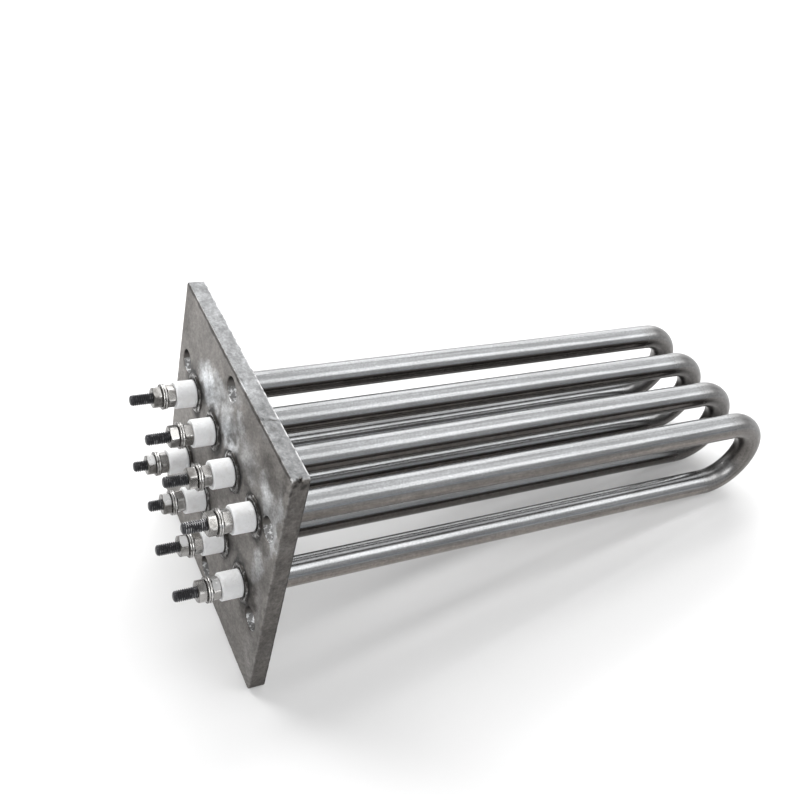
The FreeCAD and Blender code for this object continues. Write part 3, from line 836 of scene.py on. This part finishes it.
def makeTube(number, y):
    path, straight, bend = tubePath()
    columns, radius = tubeShape["columns"], tubeShape["radius"]
    bore = radius - tubeShape["wall"]
    points, along = [], []

    def addRing(place, size, shift=0.0):
        distance, x, z, outX, outZ = place
        intoBend = min(max(min(distance - straight, straight + bend - distance) / 8, 0), 1)
        fade = min(min(distance, 2 * straight + bend - distance) / 30, 1)
        bowY, bowZ = (tubeShape["bow"] * fade * noise.noise((distance * 0.012, number * 7.1, seed))
                      for seed in (0.3, 9.3))
        for step in range(columns):
            angle = 2 * math.pi * step / columns
            outward, across = math.cos(angle), math.sin(angle)
            oval = 1 - tubeShape["flattened"] * intoBend * max(outward, 0) ** 2
            reach = size * oval * outward + bowZ * (1 if outZ >= 0 else -1)
            points.append((x + outX * reach - shift, y + size * across + bowY, z + outZ * reach))
            along.append(((distance - shift) * mm, size * outward * mm, size * across * mm))

    first, last = path[0], path[-1]
    lip = tubeShape["lip"]
    # lip at the upper end, the outside, lip at the lower end, then back along the bore
    addRing(first, bore, lip * 0.6)
    addRing(first, bore + lip * 0.4, lip)
    addRing(first, radius - lip, lip)
    addRing(first, radius - lip * 0.3, lip * 0.7)
    for place in path:
        addRing(place, radius)
    addRing(last, radius - lip * 0.3, lip * 0.7)
    addRing(last, radius - lip, lip)
    addRing(last, bore + lip * 0.4, lip)
    addRing(last, bore, lip * 0.6)
    for place in reversed(path):
        addRing(place, bore)
    addRing(first, bore, lip * 0.6)
    rows = len(points) // columns
    return newPiece(f"tube_{number}", points, gridFaces(rows, columns), "sheath_steel",
                    [f"heater_sheath_{number}"], sharpFrom=60, along=along)


for number, y in stack["tubes"].items():
    makeTube(number, y)
print("tubes bent")


# the ceramic bushes

bushShape = {
    "radius": 4.8, "bevel": 0.45, "neck": 4.35, "neckEnd": -0.5, "bore": 2.05,
    "heel": 0.45, "columns": 56,
}


def arcProfile(x, radius, size, fromAngle, toAngle, steps=5):
    angles = [math.radians(fromAngle + (toAngle - fromAngle) * step / steps)
              for step in range(steps + 1)]
    return [(x + size * math.cos(angle), radius + size * math.sin(angle)) for angle in angles]


def makeBush(terminal, y, z):
    outer, face, seat = bushShape["radius"], stack["bushFace"], stack["tubeEnd"]
    bevel, heel = bushShape["bevel"], bushShape["heel"]
    profile = [(face, bushShape["bore"]), (face, outer - bevel - 0.1)]
    profile += arcProfile(face + bevel, outer - bevel, bevel, 180, 90, 6)
    profile += [(face + 3.0, outer), (seat - heel - 0.6, outer)]
    profile += arcProfile(seat - heel, outer - heel, heel, 90, 0, 4)
    profile += [(seat, bushShape["neck"]), (bushShape["neckEnd"], bushShape["neck"]),
                (bushShape["neckEnd"], bushShape["bore"]), (face, bushShape["bore"])]
    points, faces = [], []
    addRings(points, faces, latheRings(profile, y, z, bushShape["columns"]))
    for index, point in enumerate(points):
        # slightly uneven pressed surface
        push = 0.03 * noise.noise(Vector(point) * 0.9)
        away = Vector((0, point[1] - y, point[2] - z)).normalized()
        points[index] = Vector(point) + away * push
    return newPiece(f"bush_{terminal}", points, faces, "ceramic",
                    [f"ceramic_bush_{terminal}"], sharpFrom=50)


for terminal, y, z in terminals:
    makeBush(terminal, y, z)
print("bushes turned")


# the threaded pins

pinShape = {
    "major": 2.0, "minor": 1.69, "pitch": 0.7, "columns": 28, "perTurn": 8,
    "tip": -29.0, "shortTip": -26.0, "short": ("lower_3", "lower_4"),
    "tipRound": 1.25, "shank": 1.7, "shankEnd": 39.0, "threadStart": -12.6,
    "fit": 1.9,        # radius in the bush
}


def threadHeight(turn):
    # 0 at the root and 1 on the crest, with small flats on both
    part = turn % 1.0
    return min(max((0.5 - abs(part - 0.5)) * 2.6 - 0.3, 0), 1)


def makePin(terminal, y, z):
    major, minor, pitch = pinShape["major"], pinShape["minor"], pinShape["pitch"]
    tip = pinShape["shortTip"] if terminal in pinShape["short"] else pinShape["tip"]
    columns, start = pinShape["columns"], pinShape["threadStart"]
    tipRound, fit = pinShape["tipRound"], pinShape["fit"]
    points = []
    for x, radius in ((pinShape["shankEnd"], 0.0), (pinShape["shankEnd"], pinShape["shank"]),
                      (-0.5, pinShape["shank"]), (-0.5, fit), (start + 0.4, fit)):
        points += ringAbout(x, radius, y, z, columns)
    rows = int((start - tip) / pitch * pinShape["perTurn"]) + pinShape["perTurn"] + 1
    for row in range(rows):
        for step in range(columns):
            angle = 2 * math.pi * step / columns
            x = start - row * pitch / pinShape["perTurn"] + pitch * step / columns
            x = min(max(x, tip + 0.02), start)
            height = threadHeight(row / pinShape["perTurn"])
            radius = minor + (major - minor) * height
            into = (tip + tipRound - x) / tipRound
            if into > 0:
                rounded = major - tipRound * (1 - math.sqrt(max(1 - into ** 2, 0)))
                radius = min(radius, rounded)
            if x == start:
                radius = minor
            points.append((x, y + radius * math.sin(angle), z + radius * math.cos(angle)))
    points += ringAbout(tip, major - tipRound - 0.1, y, z, columns)
    points += ringAbout(tip, 0.0, y, z, columns)
    total = len(points) // columns
    return newPiece(f"pin_{terminal}", points, gridFaces(total, columns), "pin_steel",
                    [f"terminal_pin_{terminal}"], sharpFrom=70)


for terminal, y, z in terminals:
    makePin(terminal, y, z)
print("pins threaded")


# the weld beads

beadShape = {
    "inner": 5.08, "outer": 7.2, "ripples": 30, "ripple": 0.09, "wander": 0.28,
    "columns": 180, "rows": 10, "crown": 0.62, "toeSink": 0.15, "root": 1.5, "rootRadius": 5.2,
}


def makeBeads():
    points, faces = [], []
    columns, rows = beadShape["columns"], beadShape["rows"]
    for count, (_, y, z) in enumerate(terminals):
        start = len(points)
        for row in range(rows + 1):
            share = row / rows
            for step in range(columns):
                angle = 2 * math.pi * step / columns
                wander = noise.noise((math.cos(angle) * 1.7, math.sin(angle) * 1.7, count * 5.3))
                outer = beadShape["outer"] + beadShape["wander"] * wander
                # each ripple is a crescent that leans forward at the middle of the bead
                phase = angle * beadShape["ripples"] + 1.6 * math.sin(math.pi * share) + 2 * wander
                ripple = beadShape["ripple"] * (abs(math.sin(phase / 2)) - 0.6)
                crown = math.sin(math.pi * (0.06 + 0.94 * share)) ** 0.8 if share < 1 else 0
                radius = beadShape["inner"] + (outer - beadShape["inner"]) * share
                height = beadShape["crown"] * crown + ripple * math.sin(math.pi * share)
                x = stack["terminalFace"] - max(height, 0)
                if share == 1:
                    x += beadShape["toeSink"]
                points.append((x, y + radius * math.sin(angle), z + radius * math.cos(angle)))
        points += ringAbout(stack["terminalFace"] + beadShape["root"], beadShape["rootRadius"],
                            y, z, columns)
        faces += gridFaces(rows + 2, columns, start)
        closing = start + (rows + 1) * columns
        for step in range(columns):
            after = (step + 1) % columns
            faces.append((closing + step, closing + after, start + after, start + step))
    return newPiece("weldBeads", points, faces, "weld_metal", ["weld_beads"], sharpFrom=70)


makeBeads()
print("beads laid")


# the nuts and washers

nutShape = {
    "flats": 7.0, "thick": 3.0, "faceRadius": 3.3, "bore": 2.03, "sink": 0.3, "slope": 30.0,
    "cornerRadius": 3.97, "perFlat": 10,
    "innerFace": -13.7, "outerFace": -18.4,
    "outerTurns": {"upper_1": 40, "upper_2": 13, "upper_3": 31, "upper_4": 18,
                   "lower_1": 17, "lower_2": 16, "lower_3": 19, "lower_4": 17},
    "innerTurns": {"upper_1": 27, "upper_2": 15, "upper_3": 26, "upper_4": 46,
                   "lower_1": 28, "lower_2": 50, "lower_3": 4, "lower_4": 30},
}


def makeNuts(name, face, turns, replaced):
    points, faces = [], []
    columns = 6 * nutShape["perFlat"]
    half, ring = nutShape["flats"] / 2, nutShape["faceRadius"]
    slope = math.tan(math.radians(nutShape["slope"]))
    for terminal, y, z in terminals:
        rows = []
        for step in range(columns):
            # corners lie at the turned angle, counted from Y to Z
            angle = 2 * math.pi * step / columns
            flat = half / math.cos((angle % (math.pi / 3)) - math.pi / 6)
            radius = min(flat, nutShape["cornerRadius"])
            drop = (radius - ring) * slope
            low, high = face, face - nutShape["thick"]
            bore, sink = nutShape["bore"], nutShape["sink"]
            profile = [(low - sink, bore), (low, bore + sink), (low, ring), (low - drop, radius),
                       (high + drop, radius), (high, ring), (high, bore + sink),
                       (high + sink, bore), (low - sink, bore)]
            angle += math.radians(turns[terminal])
            rows.append([(x, y + size * math.cos(angle), z + size * math.sin(angle))
                         for x, size in profile])
        addRings(points, faces, [list(ring) for ring in zip(*rows)])
    return newPiece(name, points, faces, "fastener_steel", [replaced], sharpFrom=24)


washerShape = {
    "radius": 4.5, "bore": 2.05, "thick": 0.85, "round": 0.28, "columns": 56,
    "innerFace": -16.7, "outerFace": -17.55,
}


def makeWashers(name, face, replaced):
    points, faces = [], []
    radius, size, columns = washerShape["radius"], washerShape["round"], washerShape["columns"]
    far = face - washerShape["thick"]
    for _, y, z in terminals:
        profile = [(face, washerShape["bore"])]
        profile += arcProfile(face - size, radius - size, size, 0, 90, 4)
        profile += arcProfile(far + size, radius - size, size, 90, 180, 4)
        profile += [(far, washerShape["bore"]), (face, washerShape["bore"])]
        addRings(points, faces, latheRings(profile, y, z, columns))
    return newPiece(name, points, faces, "fastener_steel", [replaced], sharpFrom=40)


makeNuts("innerNuts", nutShape["innerFace"], nutShape["innerTurns"], "inner_nuts")
makeNuts("outerNuts", nutShape["outerFace"], nutShape["outerTurns"], "outer_nuts")
makeWashers("innerWashers", washerShape["innerFace"], "inner_washers")
makeWashers("outerWashers", washerShape["outerFace"], "outer_washers")
print("nuts and washers set")


# studio: camera, floor, lamps and world

studio = {
    "cameraPlace": (-0.10753, -0.22927, 0.24736),
    "cameraTurn": (51.082, -12.461, -25.976),   # degrees about X, Y and Z
    "lens": 45.558,
    "floorTilt": 8.16,      # the heater lies on its plate's edge and on its bends
    "floorHalf": 6.0, "floorHeight": -0.05, "floorColour": (0.60, 0.60, 0.60),
    "floorFill": 0.17, "whiteFrom": (0.6, 1.15),   # own glow, and where it turns white
    "skyLight": 0.18,
    "lampsFrom": 0.26, "lampsTo": 1.72,      # their reach along X, where the tubes mirror them
    # angle over the heater from -Y through the zenith to +Y, distance, width, radiance
    "lamps": {
        "nearStrip": (62, 1.3, 0.62, 3.2),
        "ceiling": (98, 1.35, 1.25, 1.25),
        "farStrip": (148, 1.3, 0.95, 2.6),
    },
    # smaller lamps beside the terminals: place, size, power
    "sideLamps": {"nearLamp": ((-0.35, -1.1, 0.8), 0.7, 7.0),
                  "rearLamp": ((-0.75, 1.1, 0.75), 0.6, 15.0)},
    # large lamps behind, for the floor's shadows and the ceramic, not mirrored in the metal
    "softLamps": {"behindTubes": ((0.55, 1.25, 1.1), 1.6, 32.0),
                  "behindTerminals": ((-0.35, 0.9, 1.3), 0.9, 10.0)},
    # plain card along the near side: low edge, high edge (y, z)
    "cardColour": (0.50, 0.52, 0.55),
    "card": ((-1.3, -0.2), (-1.2, 0.42)), "cardFrom": -1.2, "cardTo": 2.4,
}


def makeCamera():
    camera = bpy.data.objects.new("camera", bpy.data.cameras.new("camera"))
    bpy.context.scene.collection.objects.link(camera)
    camera.location = studio["cameraPlace"]
    camera.rotation_euler = [math.radians(turn) for turn in studio["cameraTurn"]]
    camera.data.sensor_width = 36
    camera.data.lens = studio["lens"]
    camera.data.clip_start, camera.data.clip_end = 0.01, 50
    bpy.context.scene.camera = camera


def seenDirectly(tree):
    # 1 for camera, glossy and transmission rays
    path = addNode(tree, "LightPath").outputs
    either = larger(tree, path["Is Camera Ray"], path["Is Glossy Ray"])
    return larger(tree, either, path["Is Transmission Ray"])


def makeSheet(name, corners, materialName, colour):
    # a flat stage piece with an empty tree that has a plain paint in it
    mesh = bpy.data.meshes.new(name)
    mesh.from_pydata(corners, [], [(0, 1, 2, 3)])
    sheet = bpy.data.objects.new(name, mesh)
    bpy.context.scene.collection.objects.link(sheet)
    material = bpy.data.materials.new(materialName)
    material.use_nodes = True
    material.node_tree.nodes.clear()
    mesh.materials.append(material)
    paint = addNode(material.node_tree, "BsdfDiffuse", {"Color": (*colour, 1)})
    return sheet, material.node_tree, paint.outputs[0]


def makeFloor():
    half = studio["floorHalf"]
    floor, tree, paint = makeSheet(
        "floor", [(-half, -half, 0), (half, -half, 0), (half, half, 0), (-half, half, 0)],
        "paleFloor", studio["floorColour"])
    floor.location = (0, 0, studio["floorHeight"])
    floor.rotation_euler = (0, -math.radians(studio["floorTilt"]), 0)
    # to the camera the floor turns white like the room some way off
    away = lengthOf(tree, addNode(tree, "NewGeometry").outputs["Position"])
    level = blendValues(tree, addNode(tree, "LightPath").outputs["Is Camera Ray"],
                        studio["floorFill"],
                        ramp(tree, away, *studio["whiteFrom"], studio["floorFill"], 1.0))
    fill = addNode(tree, "Emission", {
        "Color": (1, 1, 1, 1), "Strength": times(tree, seenDirectly(tree), level)})
    upper = addNode(tree, "AddShader", {0: paint, 1: fill.outputs[0]})
    clear = addNode(tree, "BsdfTransparent")
    sided = addNode(tree, "MixShader", {
        0: addNode(tree, "NewGeometry").outputs["Backfacing"],
        1: upper.outputs[0], 2: clear.outputs[0]})
    addNode(tree, "OutputMaterial", {"Surface": sided.outputs[0]})


def addLamp(name, place, target, size, power):
    lamp = bpy.data.lights.new(name, "AREA")
    lamp.shape = "RECTANGLE"
    lamp.size, lamp.size_y = size
    lamp.energy = power
    item = bpy.data.objects.new(name, lamp)
    bpy.context.scene.collection.objects.link(item)
    item.location = place
    back = (Vector(place) - Vector(target)).normalized()
    side = (Vector((1, 0, 0)) - back * back.x).normalized()   # long side along the tubes
    item.rotation_euler = Matrix((side, back.cross(side), back)).transposed().to_euler()
    return item


def makeLamps():
    middle = (studio["lampsFrom"] + studio["lampsTo"]) / 2
    length = studio["lampsTo"] - studio["lampsFrom"]
    for name, (turn, away, width, radiance) in studio["lamps"].items():
        turn = math.radians(turn)
        place = (middle, -away * math.cos(turn), away * math.sin(turn))
        addLamp(name, place, (middle, 0, 0), (length, width), radiance * math.pi * length * width)
    for name, (place, size, power) in studio["sideLamps"].items():
        addLamp(name, place, (0, 0, 0), (size, size), power)
    for name, (place, size, power) in studio["softLamps"].items():
        addLamp(name, place, (0, 0, 0), (size, size), power).visible_glossy = False


def makeCard():
    (lowY, lowZ), (highY, highZ) = studio["card"]
    start, end = studio["cardFrom"], studio["cardTo"]
    card, tree, paint = makeSheet(
        "nearCard", [(start, lowY, lowZ), (end, lowY, lowZ), (end, highY, highZ),
                     (start, highY, highZ)], "greyCard", studio["cardColour"])
    addNode(tree, "OutputMaterial", {"Surface": paint})
    card.visible_camera = False


def makeWorld():
    world = bpy.data.worlds.new("paleRoom")
    bpy.context.scene.world = world
    world.use_nodes = True
    tree = world.node_tree
    tree.nodes.clear()
    light = addNode(tree, "Background", {"Color": (1, 1, 1, 1), "Strength": studio["skyLight"]})
    white = addNode(tree, "Background", {"Color": (1, 1, 1, 1), "Strength": 1.0})
    mixed = addNode(tree, "MixShader", {
        0: seenDirectly(tree), 1: light.outputs[0], 2: white.outputs[0]})
    addNode(tree, "OutputWorld", {"Surface": mixed.outputs[0]})


makeCamera()
makeFloor()
makeLamps()
makeCard()
makeWorld()
bpy.context.scene.view_settings.view_transform = "Standard"
print("studio set")
